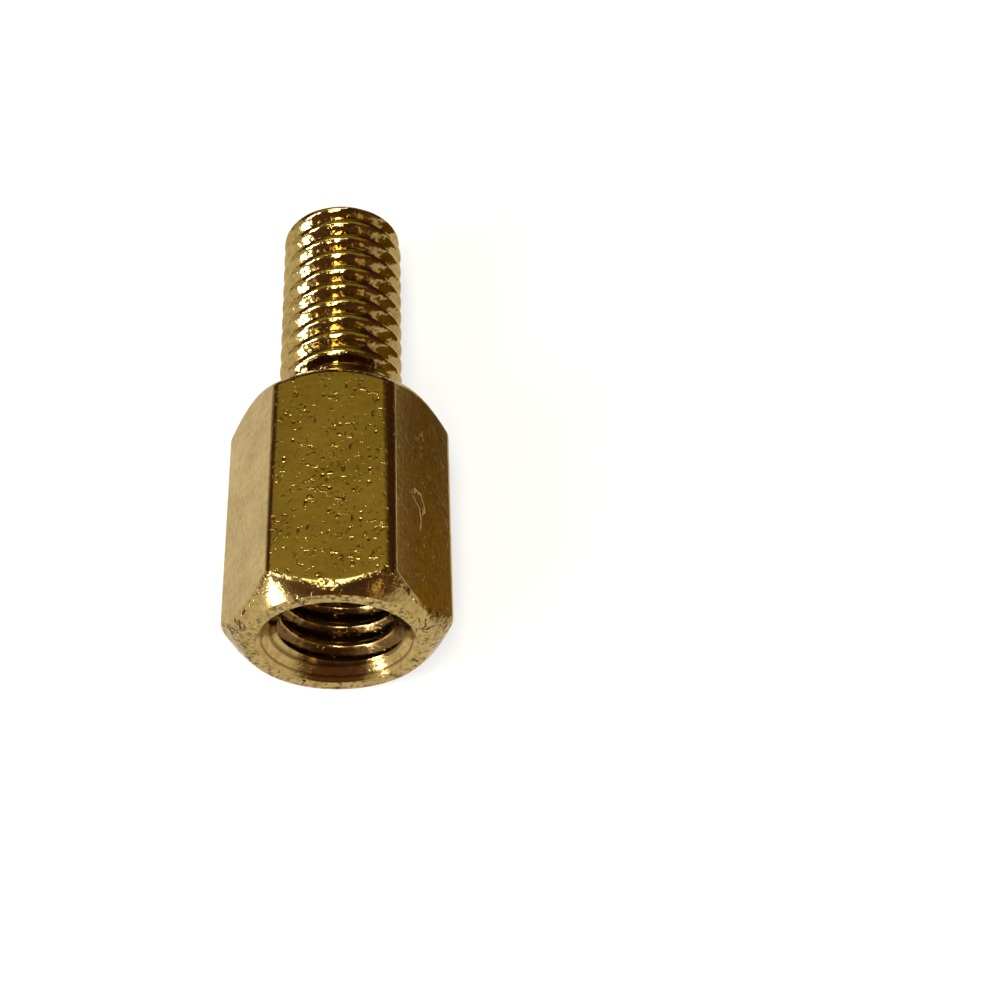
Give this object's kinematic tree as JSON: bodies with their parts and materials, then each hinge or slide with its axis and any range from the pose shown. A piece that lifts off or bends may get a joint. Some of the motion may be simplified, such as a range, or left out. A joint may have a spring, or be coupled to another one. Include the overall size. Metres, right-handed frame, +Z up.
{
  "type": "hex standoff",
  "caption": "Short brass hex standoff with a countersunk threaded hole at its mouth end and a necked, threaded stud at its shoulder end, for spacing circuit boards off a panel.",
  "frame": {"origin": "the middle of the part's length, on the flat of the hexagon that it lies on", "axes": "+Z up from that flat, +Y along the stud and away from the mouth of the hole, +X across the corners"},
  "size_m": [0.005, 0.012, 0.0045],
  "materials": {
    "brass": "drawn flats and turned ends, bare metal, lightly tarnished"
  },
  "bodies": {
    "root": {"hex_standoff": "brass"}
  },
  "joints": []
}
